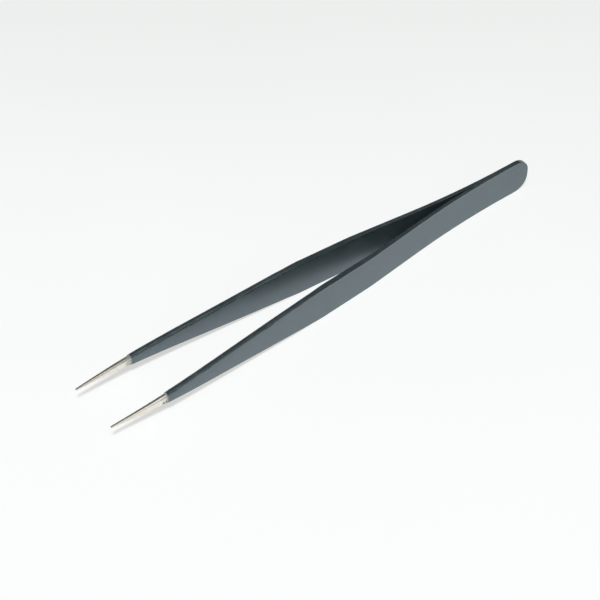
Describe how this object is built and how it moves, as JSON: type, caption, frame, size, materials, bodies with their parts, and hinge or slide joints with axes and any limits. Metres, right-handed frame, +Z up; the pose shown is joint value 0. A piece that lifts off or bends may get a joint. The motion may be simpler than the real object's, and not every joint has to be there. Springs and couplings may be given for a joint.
{
  "type": "anti-static tweezers",
  "caption": "Fine-point spring-steel tweezers with bowed, tapered arms welded at the head and a black anti-static coating that leaves the bright ground points bare.",
  "frame": {"origin": "centre of the bounding box in plan, on the surface the tweezers lie on", "axes": "+X from the points towards the welded head, +Y across the opening of the arms, +Z up; the tweezers lie on the long edges of their strips, as in the picture"},
  "size_m": [0.135, 0.0168, 0.0101],
  "materials": {
    "steel": "ground and polished points",
    "coating": "satin black dipped polymer"
  },
  "bodies": {
    "root": {"arm_left": "steel", "arm_right": "steel", "antistatic_coating": "coating"}
  },
  "joints": []
}
